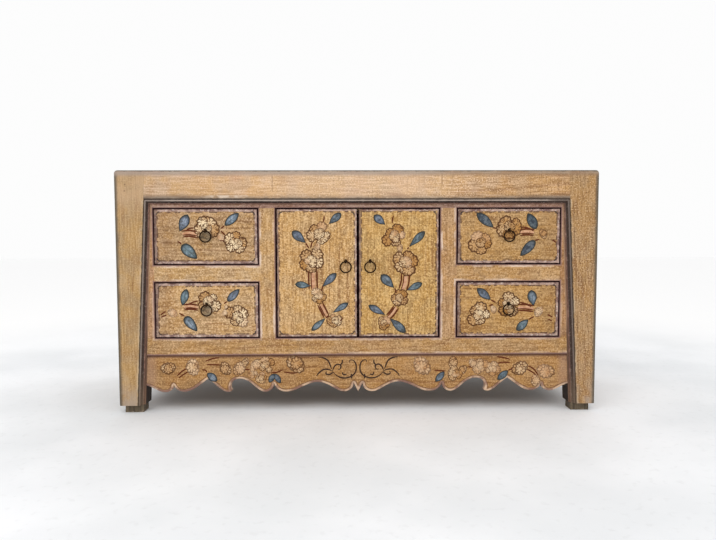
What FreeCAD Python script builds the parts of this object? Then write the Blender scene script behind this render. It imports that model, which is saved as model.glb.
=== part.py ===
import FreeCAD, Part
import os

from FreeCAD import Vector

# Low painted cabinet: a mortised frame on four legs, with a scalloped apron, two drawers on each
# side and a pair of pivot-hung doors between them. Millimetres, Z up, the front faces -Y, and the
# origin is on the floor under the middle. Pieces of the right half are drawn and then mirrored.

# Overall size
width = 1160.0
depth = 400.0
height = 586.0
arris_radius = 4.0  # rounding of the outer arrises
end_arris_radius = 8.0  # rounding of the top arrises over the two ends

# Corner posts: plumb outside, the front pair tapering on the inner side
post_top_width = 88.3
post_foot_width = 59.8
post_depth = 54.0
back_post_width = 60.0
back_post_depth = 50.0

# Foot pads under the posts
pad_height = 18.0
pad_width = 44.0
pad_depth = 36.0
pad_side_inset = 12.0
pad_front_inset = 8.0

# Top rails, and the panel let into them
top_rail_height = 68.3
top_rail_thickness = 45.0
top_panel_thickness = 18.0
top_panel_seat = 12.0

# Face frame, set back behind the posts and the top rail
face_step = 12.0
face_thickness = 28.0
head_margin = 9.5  # part of the head rail that shows below the bead
mullion_width = 41.6
drawer_rail_height = 42.6
bottom_rail_height = 42.6
bottom_rail_thickness = 40.0
scribe_least_width = 3.2  # scribe strip beside the top of the drawers

# Bead moulding in the step of the posts and under the top rail
bead_width = 12.0
bead_round_width = 7.0
bead_round_rise = 2.7
bead_quirk = 3.5  # depth of the two grooves beside the round
bead_foot = 3.0  # thickness left at the inner edge of the cove
post_margin = 3.5  # recessed strip of the post beside the bead

# Openings of the front
door_opening_width = 398.0
opening_bevel = 2.0  # of the arrises round each opening

# Side and back frames
side_rail_thickness = 30.0
back_rail_thickness = 32.0
side_panel_thickness = 12.0
side_panel_inset = 8.0
back_panel_thickness = 10.0
back_panel_inset = 6.0
groove_depth = 8.0

# Boards inside
bottom_board_thickness = 15.0
bottom_board_seat = 8.0
partition_thickness = 14.0
partition_housing = 5.0

# Tenons, and how loose the joints are
tenon_length = 28.0
tenon_thickness = 12.0
tenon_shoulder = 8.0
head_tenon_shoulder = 4.0
mullion_tenon_length = 14.0
fit = 0.2

# Apron
apron_thickness = 18.0
apron_set_back = 2.0  # behind the face of the bottom rail
apron_drop = 92.0
apron_clearance = 46.7  # from the floor to the lobes of its scallop
apron_tongue_height = 6.0
apron_tongue_thickness = 7.0
apron_housing = 8.0  # how far its ends go into the posts

# Drawers
drawer_gap = 1.5
drawer_front_thickness = 18.0
drawer_edge_radius = 2.5
drawer_side_thickness = 11.0
drawer_side_drop = 30.8  # top of the sides below the top of the opening
drawer_side_inset = 1.0
drawer_lap = 6.0  # how far the sides are let into the front
drawer_back_inset = 12.0
drawer_back_drop = 8.0
drawer_back_clearance = 2.0
drawer_bottom_thickness = 7.0
drawer_bottom_lift = 8.0
drawer_bottom_groove = 4.0
slide_gap = 0.3

# Bearers and guides of the drawers
bearer_height = 18.0
bearer_reach = 4.0  # how far a bearer reaches in past the drawer side
guide_height = 22.0
guide_gap = 0.5

# Doors
door_gap = 2.0
door_meeting_gap = 4.0
door_thickness = 18.0
door_hinge_radius = 5.0
door_edge_radius = 2.5
pivot_inset = 8.0  # pivot axis from the door's outer edge, and from its face
pivot_radius = 3.5
pivot_length = 9.0
pivot_clearance = 0.08
pivot_end_play = 0.3
stop_length = 240.0
stop_height = 12.0
stop_gap = 0.4

# Ring pulls
ring_radius = 13.1  # to the middle of the wire
ring_wire_radius = 1.7
ring_play = 0.35  # between the wire and the bottom of the eye
eye_reach = 6.6  # eye centre off the face
eye_radius = 5.1
eye_bore_radius = 3.4
eye_width = 3.4
eye_stem_radius = 1.7
eye_stem_clearance = 0.1
eye_washer_radius = 3.6
eye_washer_thickness = 1.0
eye_leg_length = 10.0
eye_leg_thickness = 1.8
door_pull_offset = 29.6  # door rings from the middle line
door_pull_lift = 15.0  # ring centre above the middle of the door

# Half of the apron's scallop from the middle outwards: each run is a smooth curve between two cusps,
# as (distance from the middle, rise above the lobes) for half a span of scallop_span
scallop_span = 518.0
scallop_runs = [
    [(0, 0), (11, 21)],
    [(11, 21), (19, 5), (34, 0), (62, 11), (97, 24), (132, 15), (163, 2), (184, 1), (207, 21)],
    [(207, 21), (213, 6), (228, 0), (250, 11), (270, 27), (290, 33), (306, 28), (313, 15), (310, 3)],
    [(310, 3), (320, 0), (335, 6), (352, 20), (368, 33)],
    [(368, 33), (384, 21), (405, 7), (428, 1), (443, 6), (452, 19)],
    [(452, 19), (458, 5), (473, 0), (493, 6), (518, 17)],
]

overshoot = 1.0  # of a cutting shape past what it cuts

# Planes and levels that follow from the sizes
half_width = width / 2
front = -depth / 2
back = depth / 2
face = front + face_step
face_back = face + face_thickness
top_rail_back = front + top_rail_thickness
panel_front = back - back_panel_inset - back_panel_thickness  # front of the back panel
top_rail_bottom = height - top_rail_height
bead_bottom = top_rail_bottom - bead_width
opening_top = bead_bottom - head_margin
apron_top = apron_clearance + apron_drop
opening_bottom = apron_top + bottom_rail_height
drawer_opening_height = (opening_top - opening_bottom - drawer_rail_height) / 2
lower_top = opening_bottom + drawer_opening_height
upper_bottom = lower_top + drawer_rail_height
drawer_side_height = drawer_opening_height - drawer_side_drop
door_half = door_opening_width / 2
mullion_outer = door_half + mullion_width
post_lean = (post_top_width - post_foot_width) / (height - pad_height)
post_inner = half_width - post_foot_width  # inner side of a front post at its foot
drawer_outer = post_inner - post_lean * (opening_top - pad_height) - scribe_least_width
partition_inner = door_half + (mullion_width - partition_thickness) / 2
partition_outer = partition_inner + partition_thickness
step_width = post_margin + bead_width
rail_inner = half_width - side_rail_thickness
back_rail_front = back - back_rail_thickness
back_post_inner = half_width - back_post_width
back_post_front = back - back_post_depth
post_back = front + post_depth
bottom_rail_back = face + bottom_rail_thickness
bottom_board_front = bottom_rail_back - bottom_board_seat
bottom_board_bottom = opening_bottom - bottom_board_thickness
top_panel_bottom = height - top_panel_thickness

parts = {}


def box(x0, x1, y0, y1, z0, z1):
    return Part.makeBox(x1 - x0, y1 - y0, z1 - z0, Vector(x0, y0, z0))


def grown(bounds, by):
    """Bounds moved outwards on all sides."""
    return [value + by * (1 if i % 2 else -1) for i, value in enumerate(bounds)]


def prism(points, y0, y1):
    """A closed outline of (x, z) points, carried from y0 to y1."""
    corners = [Vector(x, y0, z) for x, z in points]
    wire = Part.makePolygon(corners + corners[:1])
    return Part.Face(wire).extrude(Vector(0, y1 - y0, 0))


def mirrored(shape):
    return shape.mirror(Vector(0, 0, 0), Vector(1, 0, 0))


def both_halves(shape):
    """A piece that crosses the middle, from its right half."""
    return shape.fuse(mirrored(shape)).removeSplitter()


def post_side(z, out=0.0):
    """X of the right front post's inner side at height z, moved outwards."""
    return post_inner - post_lean * (z - pad_height) + out


def half_span(y0, y1, z0, z1, out=0.0):
    """Right half of a rail whose end is scribed to the tapered post, or reaches past its inner side."""
    return prism([(0, z0), (post_side(z0, out), z0), (post_side(z1, out), z1), (0, z1)], y0, y1)


def tenon(male, females, bounds):
    """Adds a tenon to one piece and cuts its mortise, with the fit, in the others."""
    parts[male] = parts[male].fuse(box(*bounds)).removeSplitter()
    for female in females:
        parts[female] = parts[female].cut(box(*grown(bounds, fit)))


def groove(bounds, *names):
    """Cuts the seat of a loose panel or board in the pieces that hold it."""
    for name in names:
        parts[name] = parts[name].cut(box(*grown(bounds, fit)))


def rail_tenon(male, females, x_shoulder, y0, y1, z0, z1, shoulder=tenon_shoulder):
    """A tenon at the right end of a rail of the given section."""
    middle = (y0 + y1) / 2
    bounds = [x_shoulder - tenon_length / 2, x_shoulder + tenon_length]
    bounds += [middle - tenon_thickness / 2, middle + tenon_thickness / 2, z0 + shoulder, z1 - shoulder]
    tenon(male, females, bounds)


def side_rail_tenons(male, z0, z1):
    """Tenons at the front and back of a side rail, into the two posts."""
    middle = half_width - side_rail_thickness / 2
    section = [middle - tenon_thickness / 2, middle + tenon_thickness / 2]
    levels = [z0 + tenon_shoulder, z1 - tenon_shoulder]
    front_end = [post_back - tenon_length, post_back + tenon_length / 2]
    back_end = [back_post_front - tenon_length / 2, back_post_front + tenon_length]
    tenon(male, ["post_front_right"], section + front_end + levels)
    tenon(male, ["post_back_right"], section + back_end + levels)


def rounded_envelope():
    """The cabinet's outside, with the arrises of the front, the back and the ends of the top rounded."""
    block = box(-half_width, half_width, front, back, 0, height)
    along_depth = [e for e in block.Edges if e.BoundBox.YLength > overshoot]
    ends = [e for e in along_depth if e.BoundBox.ZMin > height - overshoot]
    block = block.makeFillet(end_arris_radius, ends)
    round_faces = [e for e in block.Edges if e.BoundBox.YLength < overshoot]
    return block.makeFillet(arris_radius, [e for e in round_faces if e.BoundBox.ZMax > overshoot])


def bead_strip(place, run):
    """A strip of bead: a round between two quirks, then a cove down to the recessed frame.

    place(w, d) gives the point w in from the outer edge and d behind the post's face.
    """
    cove_depth = face_step - bead_foot
    start = place(0, bead_quirk)
    crown = place(bead_round_width / 2, bead_quirk - bead_round_rise)
    quirk = place(bead_round_width, bead_quirk)
    shelf = place(bead_round_width, (bead_quirk + cove_depth) / 2)
    hollow = place((2 * bead_round_width + bead_width) / 3, (bead_quirk + 5 * cove_depth) / 6)
    inner = place(bead_width, cove_depth)
    corners = [inner, place(bead_width, face_step), place(0, face_step), start]
    edges = [Part.Arc(start, crown, quirk).toShape(), Part.makeLine(quirk, shelf)]
    edges += [Part.Arc(shelf, hollow, inner).toShape()]
    edges += [Part.makeLine(a, b) for a, b in zip(corners, corners[1:])]
    return Part.Face(Part.Wire(edges)).extrude(run)


def build_posts():
    """Posts cut back for the bead, and for the end of the top rail that rests on the front pair."""
    outline = [(post_side(pad_height), pad_height), (half_width, pad_height), (half_width, height)]
    outline += [(post_side(z, step_width), z) for z in (height, top_rail_bottom)]
    outline += [(post_side(top_rail_bottom), top_rail_bottom)]
    post = prism(outline, front, post_back)
    step = [(post_side(pad_height, -overshoot), pad_height), (post_side(pad_height, step_width), pad_height)]
    step += [(post_side(top_rail_bottom, step_width), top_rail_bottom)]
    step += [(post_side(top_rail_bottom, -overshoot), top_rail_bottom)]
    parts["post_front_right"] = post.cut(prism(step, front - overshoot, face))
    parts["post_back_right"] = box(back_post_inner, half_width, back_post_front, back, pad_height, height)


def build_foot_pads():
    x1 = half_width - pad_side_inset
    y0 = front + pad_front_inset
    pad = box(x1 - pad_width, x1, y0, y0 + pad_depth, 0, pad_height)
    back_pad = pad.mirror(Vector(0, 0, 0), Vector(0, 1, 0))
    parts["foot_pads"] = Part.makeCompound([pad, back_pad, mirrored(pad), mirrored(back_pad)])


def build_rails():
    parts["top_rail_front"] = half_span(front, top_rail_back, top_rail_bottom, height, step_width)
    parts["bottom_rail_front"] = half_span(face, bottom_rail_back, apron_top, opening_bottom)
    parts["head_rail"] = half_span(face, top_rail_back, opening_top, top_rail_bottom)
    for level, z0, z1 in [("top", top_rail_bottom, height), ("bottom", apron_top, opening_bottom)]:
        parts[level + "_rail_back"] = box(0, back_post_inner, back_rail_front, back, z0, z1)
        parts[level + "_rail_right"] = box(rail_inner, half_width, post_back, back_post_front, z0, z1)
    parts["mullion_right"] = box(door_half, mullion_outer, face, face_back, opening_bottom, opening_top)
    parts["drawer_rail_right"] = box(mullion_outer, drawer_outer, face, face_back, lower_top, upper_bottom)
    strip = [(drawer_outer, opening_bottom), (post_side(opening_bottom), opening_bottom)]
    strip += [(post_side(opening_top), opening_top), (drawer_outer, opening_top)]
    parts["scribe_strip_right"] = prism(strip, face, face_back)


def join_rails():
    post = ["post_front_right"]
    back_post = ["post_back_right"]
    for name, out, y1, z0, z1, shoulder in [
        ("top_rail_front", step_width, top_rail_back, top_rail_bottom, top_panel_bottom, tenon_shoulder),
        ("head_rail", 0.0, top_rail_back, opening_top, top_rail_bottom, head_tenon_shoulder),
        ("bottom_rail_front", 0.0, bottom_board_front, apron_top, opening_bottom, tenon_shoulder),
    ]:
        rail_tenon(name, post, post_side(z1, out), face, y1, z0, z1, shoulder)
    for level, z0, z1 in [
        ("top", top_rail_bottom, top_panel_bottom),
        ("bottom", apron_top, bottom_board_bottom),
    ]:
        rail_tenon(level + "_rail_back", back_post, back_post_inner, back_rail_front, back, z0, z1)
        side_rail_tenons(level + "_rail_right", z0, z1)
    strip_and_post = ["scribe_strip_right"] + post
    rail_tenon("drawer_rail_right", strip_and_post, drawer_outer, face, face_back, lower_top, upper_bottom)
    middle = face + face_thickness / 2
    section = [middle - tenon_thickness / 2, middle + tenon_thickness / 2]
    inner = [mullion_outer - mullion_width / 2, mullion_outer + overshoot]
    levels = [lower_top + tenon_shoulder, upper_bottom - tenon_shoulder]
    tenon("drawer_rail_right", ["mullion_right"], inner + section + levels)
    across = [door_half + tenon_shoulder, mullion_outer - tenon_shoulder]
    for rail, z0, z1 in [
        ("head_rail", opening_top - overshoot, opening_top + mullion_tenon_length),
        ("bottom_rail_front", opening_bottom - mullion_tenon_length, opening_bottom + overshoot),
    ]:
        tenon("mullion_right", [rail], across + section + [z0, z1])


def ease_openings():
    """Bevels the arrises round the openings, across the joints between the pieces of the front."""
    for x0, x1, z0, z1 in [
        (-door_half, door_half, opening_bottom, opening_top),
        (mullion_outer, drawer_outer, upper_bottom, opening_top),
        (mullion_outer, drawer_outer, opening_bottom, lower_top),
    ]:
        rims = []
        for by, y in [(opening_bevel, face), (0.0, face + opening_bevel)]:
            left, right, low, high = grown([x0, x1, z0, z1], by)
            outline = [(left, low), (right, low), (right, high), (left, high), (left, low)]
            rims.append(Part.makePolygon([Vector(x, y, z) for x, z in outline]))
        bevel = Part.makeLoft(rims, True, True)
        for name in ["head_rail", "bottom_rail_front"]:
            parts[name] = parts[name].cut(bevel)
        for name in ["mullion_right", "drawer_rail_right", "scribe_strip_right"]:
            parts[name] = parts[name].cut(bevel)


def build_beads():
    """Strips of one section, mitred where the top one meets the upright ones."""
    foot = Vector(post_side(pad_height, step_width), front, pad_height)
    top = Vector(post_side(height, step_width), front, height)
    upright = bead_strip(lambda w, d: foot + Vector(-w, d, 0), top - foot)
    across = bead_strip(lambda w, d: Vector(0, front + d, top_rail_bottom - w), Vector(half_width, 0, 0))
    outer = (post_side(top_rail_bottom, step_width), top_rail_bottom)
    inner = (post_side(bead_bottom, post_margin), bead_bottom)
    outside = [inner, outer, (half_width, top_rail_bottom), (half_width, pad_height), (inner[0], pad_height)]
    outside = prism(outside, front, face)
    inside = prism([inner, outer, (0, top_rail_bottom), (0, bead_bottom)], front, face)
    parts["bead_right"] = upright.common(outside)
    parts["bead_top"] = across.common(inside)


def build_panels():
    """Top panel, side panels, back panel and bottom board, each let into the frame that holds it."""
    top_x = rail_inner + top_panel_seat
    top = [-top_x, top_x, top_rail_back - top_panel_seat, back_rail_front + top_panel_seat]
    top += [top_panel_bottom, height]
    base_x = rail_inner + bottom_board_seat
    base = [-base_x, base_x, bottom_board_front, back_rail_front + bottom_board_seat]
    base += [bottom_board_bottom, opening_bottom]
    for name, bounds, level, out in [
        ("top_panel", top, "top", step_width),
        ("bottom_board", base, "bottom", 0.0),
    ]:
        seat = grown(bounds, fit)[:4] + [bounds[4], bounds[5] + overshoot]
        for place in ["front", "back", "right"]:
            rail = level + "_rail_" + place
            parts[rail] = parts[rail].cut(box(*seat))
        board = box(*bounds)
        x0 = post_side(bounds[5], out - fit)
        front_notch = box(x0, half_width, front, post_back + fit, bounds[4], bounds[5])
        back_notch = box(back_post_inner - fit, half_width, back_post_front - fit, back, bounds[4], bounds[5])
        notches = [front_notch, back_notch, mirrored(front_notch), mirrored(back_notch)]
        parts[name] = board.cut(Part.makeCompound(notches))
    x1 = half_width - side_panel_inset
    levels = [opening_bottom - groove_depth, top_rail_bottom + groove_depth]
    side = [x1 - side_panel_thickness, x1, post_back - groove_depth, back_post_front + groove_depth] + levels
    parts["side_panel_right"] = box(*side)
    groove(side, "post_front_right", "post_back_right", "top_rail_right", "bottom_rail_right")
    x1 = back_post_inner + groove_depth
    rear = [-x1, x1, panel_front, panel_front + back_panel_thickness] + levels
    parts["back_panel"] = box(*rear)
    groove(rear, "post_back_right", "top_rail_back", "bottom_rail_back")


def build_partitions():
    """Boards between the drawers and the middle, housed in the bottom board and under the top panel."""
    across = [partition_inner, partition_outer]
    board = box(*across, face_back, panel_front, opening_bottom, top_panel_bottom)
    for name in ["top_rail_front", "head_rail", "top_rail_back"]:
        board = board.cut(parts[name])
    housing = across + [bottom_rail_back, back_rail_front]
    housing += [opening_bottom - partition_housing, opening_bottom + overshoot]
    parts["partition_right"] = board.fuse(box(*housing)).removeSplitter()
    seat = grown(housing, fit)
    seat[4] = housing[4]
    slot = box(*seat)
    parts["bottom_board"] = parts["bottom_board"].cut(slot).cut(mirrored(slot))


def scallop_edges():
    """The right half of the apron's lower edge, from the middle to the post."""
    end_rise = scallop_runs[-1][-1][1]
    stretch = post_side(apron_clearance + end_rise) / scallop_span
    y = face + apron_set_back
    edges = []
    for run in scallop_runs:
        points = [Vector(x * stretch, y, apron_clearance + rise) for x, rise in run]
        if len(points) == 2:
            edges.append(Part.makeLine(*points))
        else:
            curve = Part.BSplineCurve()
            curve.interpolate(points)
            edges.append(curve.toShape())
    return edges


def build_apron():
    """Scalloped board with a tongue in the bottom rail and its ends housed in the posts."""
    y0 = face + apron_set_back
    y1 = y0 + apron_thickness
    scallop = scallop_edges()
    middle = scallop[0].Vertexes[0].Point
    end = scallop[-1].Vertexes[-1].Point
    reach = Vector(half_width - step_width, y0, end.z)
    corners = [end, reach, Vector(reach.x, y0, apron_top), Vector(0, y0, apron_top), middle]
    edges = scallop + [Part.makeLine(a, b) for a, b in zip(corners, corners[1:])]
    blank = Part.Face(Part.Wire(edges)).extrude(Vector(0, apron_thickness, 0))
    end_limit = [(0, apron_clearance - overshoot), (post_side(apron_clearance, apron_housing), apron_clearance - overshoot)]
    end_limit += [(post_side(apron_top, apron_housing), apron_top), (0, apron_top)]
    parts["apron"] = blank.common(prism(end_limit, y0 - overshoot, y1 + overshoot))
    low = end.z - fit
    seat_depth = apron_housing + fit
    seat = [(post_side(low, -overshoot), low), (post_side(low, seat_depth), low)]
    seat += [(post_side(apron_top, seat_depth), apron_top), (post_side(apron_top, -overshoot), apron_top)]
    parts["post_front_right"] = parts["post_front_right"].cut(prism(seat, y0 - fit, y1 + fit))
    centre = (y0 + y1) / 2
    tongue = [0, post_side(apron_top, -apron_housing)]
    tongue += [centre - apron_tongue_thickness / 2, centre + apron_tongue_thickness / 2]
    tenon("apron", ["bottom_rail_front"], tongue + [apron_top - overshoot, apron_top + apron_tongue_height])


def drawer_sides(x0, x1):
    """Faces of the two sides of a drawer whose front runs from x0 to x1."""
    outer = [x0 + drawer_side_inset, x1 - drawer_side_inset]
    return [(outer[0], outer[0] + drawer_side_thickness), (outer[1] - drawer_side_thickness, outer[1])]


def build_drawer(level, z0, z1):
    """Front, box and bottom of a drawer on the right, for an opening from z0 to z1."""
    x0 = mullion_outer + drawer_gap
    x1 = drawer_outer - drawer_gap
    inside = face + drawer_front_thickness
    end = panel_front - drawer_back_clearance
    rest = z0 + slide_gap
    front_board = box(x0, x1, face, inside, z0 + drawer_gap, z1 - drawer_gap)
    arrises = [e for e in front_board.Edges if e.BoundBox.YMax < face + overshoot]
    front_board = front_board.makeFillet(drawer_edge_radius, arrises)
    sides = drawer_sides(x0, x1)
    floor = [sides[0][1] - drawer_bottom_groove, sides[1][0] + drawer_bottom_groove]
    floor += [inside - drawer_lap, end, rest + drawer_bottom_lift]
    floor += [rest + drawer_bottom_lift + drawer_bottom_thickness]
    rear_end = end - drawer_back_inset
    rear = [floor[0], floor[1], rear_end - drawer_side_thickness, rear_end, floor[5]]
    rear += [rest + drawer_side_height - drawer_back_drop]
    boards = []
    for a, b in sides:
        side = [a, b, inside - drawer_lap, end, rest, rest + drawer_side_height]
        front_board = front_board.cut(box(*grown(side, fit)[:3], inside + overshoot, *grown(side, fit)[4:]))
        boards.append(box(*side).cut(box(*grown(floor, fit))).cut(box(*grown(rear, fit))))
    name = "drawer_" + level + "_right_"
    parts[name + "front"] = front_board.cut(box(*grown(floor, fit)))
    parts[name + "box"] = Part.makeCompound(boards + [box(*rear)])
    parts[name + "bottom"] = box(*floor)
    build_pull(name, (x0 + x1) / 2, (z0 + z1) / 2, drawer_front_thickness, name + "front")


def build_pull(name, x, z, thickness, board):
    """Ring hung in a cotter-pin eye: its centre at x, z, its pin through a board and clinched behind."""
    eye_y = face - eye_reach
    hang = eye_bore_radius - ring_play - ring_wire_radius
    centre = Vector(x, eye_y, z + ring_radius + hang)
    along_x = Vector(1, 0, 0)
    along_y = Vector(0, 1, 0)
    edge = centre - along_x * (eye_width / 2)
    behind = face + thickness
    stem_start = Vector(x, eye_y + (eye_radius + eye_bore_radius) / 2, centre.z)
    stem_length = behind + eye_leg_thickness - stem_start.y
    stem = Part.makeCylinder(eye_stem_radius, stem_length, stem_start, along_y)
    washer_start = Vector(x, face - eye_washer_thickness, centre.z)
    washer = Part.makeCylinder(eye_washer_radius, eye_washer_thickness, washer_start, along_y)
    legs = box(x - eye_leg_length, x + eye_leg_length, behind, behind + eye_leg_thickness,
               centre.z - eye_stem_radius, centre.z + eye_stem_radius)
    loop = Part.makeCylinder(eye_radius, eye_width, edge, along_x)
    bore = Part.makeCylinder(eye_bore_radius, eye_width, edge, along_x)
    parts[name + "eye"] = loop.fuse([stem, washer, legs]).cut(bore)
    parts[name + "ring"] = Part.makeTorus(ring_radius, ring_wire_radius, Vector(x, eye_y, z), along_y)
    pin_hole = Part.makeCylinder(eye_stem_radius + eye_stem_clearance, thickness + 2 * overshoot,
                                 Vector(x, face - overshoot, centre.z), along_y)
    parts[board] = parts[board].cut(pin_hole)


def build_bearers():
    """Bearers under the upper drawers, and guides beside all four."""
    (inner, outer) = drawer_sides(mullion_outer + drawer_gap, drawer_outer - drawer_gap)
    run = [face_back, panel_front]
    post_top = post_side(upper_bottom + guide_height)
    bearers = []
    guides = []
    for x0, x1 in [(partition_outer, inner[1] + bearer_reach), (outer[0] - bearer_reach, post_top)]:
        bearers.append(box(x0, x1, *run, upper_bottom - bearer_height, upper_bottom))
    for x0, x1 in [(partition_outer, inner[0] - guide_gap), (outer[1] + guide_gap, post_top)]:
        for z0 in [opening_bottom, upper_bottom]:
            guides.append(box(x0, x1, *run, z0, z0 + guide_height))
    for name, solids in [("drawer_bearers", bearers), ("drawer_guides", guides)]:
        parts[name] = Part.makeCompound(solids + [mirrored(solid) for solid in solids])


def build_doors():
    """Board door with a pivot pin at its top and bottom, and the sockets in the two rails."""
    x0 = door_meeting_gap / 2
    x1 = door_half - door_gap
    y1 = face + door_thickness
    z0 = opening_bottom + door_gap
    z1 = opening_top - door_gap
    board = box(x0, x1, face, y1, z0, z1)
    for x, radius in [(x1, door_hinge_radius), (x0, door_edge_radius)]:
        face_edges = [e for e in board.Edges if e.BoundBox.YMax < face + overshoot]
        board = board.makeFillet(radius, [e for e in face_edges if abs(e.BoundBox.Center.x - x) < overshoot])
    axis = Vector(x1 - pivot_inset, face + pivot_inset, opening_bottom - pivot_length)
    length = opening_top - opening_bottom + 2 * pivot_length
    pin = Part.makeCylinder(pivot_radius, length, axis)
    parts["door_right_panel"] = board.fuse(pin).removeSplitter()
    socket = Part.makeCylinder(pivot_radius + pivot_clearance, length + 2 * pivot_end_play,
                               axis - Vector(0, 0, pivot_end_play))
    for rail in ["head_rail", "bottom_rail_front"]:
        parts[rail] = parts[rail].cut(socket)
    ring_z = (opening_top + opening_bottom) / 2 + door_pull_lift
    build_pull("door_right_", door_pull_offset, ring_z, door_thickness, "door_right_panel")
    parts["door_stop"] = box(-stop_length / 2, stop_length / 2, y1 + stop_gap, top_rail_back,
                             opening_top - stop_height, opening_top)


build_posts()
build_foot_pads()
build_rails()
join_rails()
ease_openings()
build_beads()
build_apron()
build_panels()
build_partitions()
build_doors()
build_drawer("upper", upper_bottom, opening_top)
build_drawer("lower", opening_bottom, lower_top)
build_bearers()

envelope = rounded_envelope()
for name in ["post_front_right", "post_back_right", "top_rail_right"]:
    parts[name] = parts[name].common(envelope)
for name in ["top_rail_front", "top_rail_back"]:
    parts[name] = both_halves(parts[name].common(envelope))
for name in ["bottom_rail_front", "bottom_rail_back", "head_rail", "bead_top", "apron"]:
    parts[name] = both_halves(parts[name])
for name in [name for name in parts if "_right" in name]:
    parts[name.replace("_right", "_left")] = mirrored(parts[name])

os.makedirs("parts", exist_ok=True)
for name, shape in parts.items():
    shape.exportStep("parts/" + name + ".step")
    print(name, len(shape.Solids), shape.isValid(), round(shape.Volume))
print(len(parts), "nodes")
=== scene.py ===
# A low painted cabinet on four legs: two drawers on each side of a pair of doors, over a scalloped
# apron. Its finish is aged ochre paint with sprays of flowers, and iron rings pull the drawers and doors.
import math
import random

import bmesh
import bpy
from mathutils import Matrix, Vector
from mathutils.geometry import delaunay_2d_cdt
from mathutils.kdtree import KDTree


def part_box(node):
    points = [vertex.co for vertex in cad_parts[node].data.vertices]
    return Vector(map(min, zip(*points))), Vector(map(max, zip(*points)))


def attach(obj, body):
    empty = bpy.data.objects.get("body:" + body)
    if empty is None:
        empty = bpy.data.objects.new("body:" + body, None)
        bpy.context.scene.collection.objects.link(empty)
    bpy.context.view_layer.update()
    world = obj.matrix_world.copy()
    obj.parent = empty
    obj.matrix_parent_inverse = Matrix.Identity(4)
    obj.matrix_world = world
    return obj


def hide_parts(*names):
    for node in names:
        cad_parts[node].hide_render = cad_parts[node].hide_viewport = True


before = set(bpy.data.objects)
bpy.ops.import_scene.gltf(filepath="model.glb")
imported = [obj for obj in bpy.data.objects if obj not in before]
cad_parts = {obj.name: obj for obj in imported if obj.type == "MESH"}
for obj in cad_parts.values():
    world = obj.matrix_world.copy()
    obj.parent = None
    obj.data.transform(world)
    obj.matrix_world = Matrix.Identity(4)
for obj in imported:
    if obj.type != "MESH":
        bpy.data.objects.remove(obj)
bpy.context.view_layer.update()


# Corner posts. Planed softwood under ochre paint, the front pair tapering on the inner side.
# They stand on the foot pads and reach the top, and every rail is tenoned into them.
class Tone:
    """One socket in a finish. Sums of tones add Math nodes; colours and places go through mix and node."""

    def __init__(self, socket):
        self.socket = socket
        self.tree = socket.id_data

    def node(self, kind, settings, inputs, output=0):
        """A node of any kind: its settings first, then the values or links of its sockets."""
        made = self.tree.nodes.new(kind)
        for name, value in settings.items():
            setattr(made, name, value)
        for name, value in inputs.items():
            if isinstance(value, Tone):
                self.tree.links.new(value.socket, made.inputs[name])
            else:
                made.inputs[name].default_value = value
        return Tone(made.outputs[output])

    def math(self, operation, *values):
        return self.node("ShaderNodeMath", {"operation": operation}, dict(enumerate(values)))

    def __add__(self, other):
        return self.math("ADD", self, other)

    def __sub__(self, other):
        return self.math("SUBTRACT", self, other)

    def __rsub__(self, other):
        return self.math("SUBTRACT", other, self)

    def __mul__(self, other):
        return self.math("MULTIPLY", self, other)

    def __abs__(self):
        return self.math("ABSOLUTE", self)

    __radd__ = __add__
    __rmul__ = __mul__

    def least(self, other):
        return self.math("MINIMUM", self, other)

    def most(self, other):
        return self.math("MAXIMUM", self, other)

    def sine(self):
        return self.math("SINE", self)

    def rise(self, start, end):
        """0 at start and 1 at end, with a soft slope between them; it falls where start is the larger."""
        limits = {"Value": self, "From Min": start, "From Max": end}
        return self.node("ShaderNodeMapRange", {"interpolation_type": "SMOOTHSTEP"}, limits)

    def mix(self, under, over, blend="MIX"):
        """The colour under, covered by the colour over, or stained with it, as far as this tone says."""
        settings = {"data_type": "RGBA", "blend_type": blend}
        return self.node("ShaderNodeMix", settings, {0: self, 6: under, 7: over}, 2)

    def stretched(self, scale):
        """A place with its axes stretched, all three alike where scale is a single number."""
        scales = scale if isinstance(scale, (tuple, list)) else [scale] * 3
        return self.node("ShaderNodeVectorMath", {"operation": "MULTIPLY"}, {0: self, 1: scales})

    def noise(self, scale, detail=2.0):
        """Soft noise at a place, with scale waves to the metre along each axis."""
        inputs = {"Vector": self.stretched(scale), "Scale": 1.0, "Detail": detail}
        return self.node("ShaderNodeTexNoise", {}, inputs)

    def scattered(self, scale):
        """How far a place is from the nearest of some scattered points, in shares of their spacing."""
        inputs = {"Vector": self.stretched(scale), "Scale": 1.0}
        return self.node("ShaderNodeTexVoronoi", {"feature": "F1"}, inputs)

    def axes(self):
        """The three parts of a place."""
        return [self.node("ShaderNodeSeparateXYZ", {}, {0: self}, part) for part in range(3)]

    def into(self, name):
        """Runs this tone into a socket of the finish's shader."""
        shader = self.tree.nodes["Principled BSDF"]
        self.tree.links.new(self.socket, shader.inputs[name])


def paint(red, green, blue):
    """A colour as a paint chart gives it, 0 to 255, in the linear light that a shader takes."""
    parts = [value / 255 for value in (red, green, blue)]
    return [p / 12.92 if p < 0.04 else ((p + 0.055) / 1.055) ** 2.4 for p in parts] + [1.0]


def deeper(colour, red, green, blue):
    """A colour with each part of its light taken down or up."""
    return [colour[0] * red, colour[1] * green, colour[2] * blue, 1.0]


def new_coat(name):
    """An empty matt finish, and the tone that tells where on the piece a point is, in metres."""
    coat = bpy.data.materials.new(name)
    coat.use_nodes = True
    coat.node_tree.nodes["Principled BSDF"].inputs["Specular IOR Level"].default_value = 0.2
    where = coat.node_tree.nodes.new("ShaderNodeTexCoord")
    return coat, Tone(where.outputs["Object"])


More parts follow.
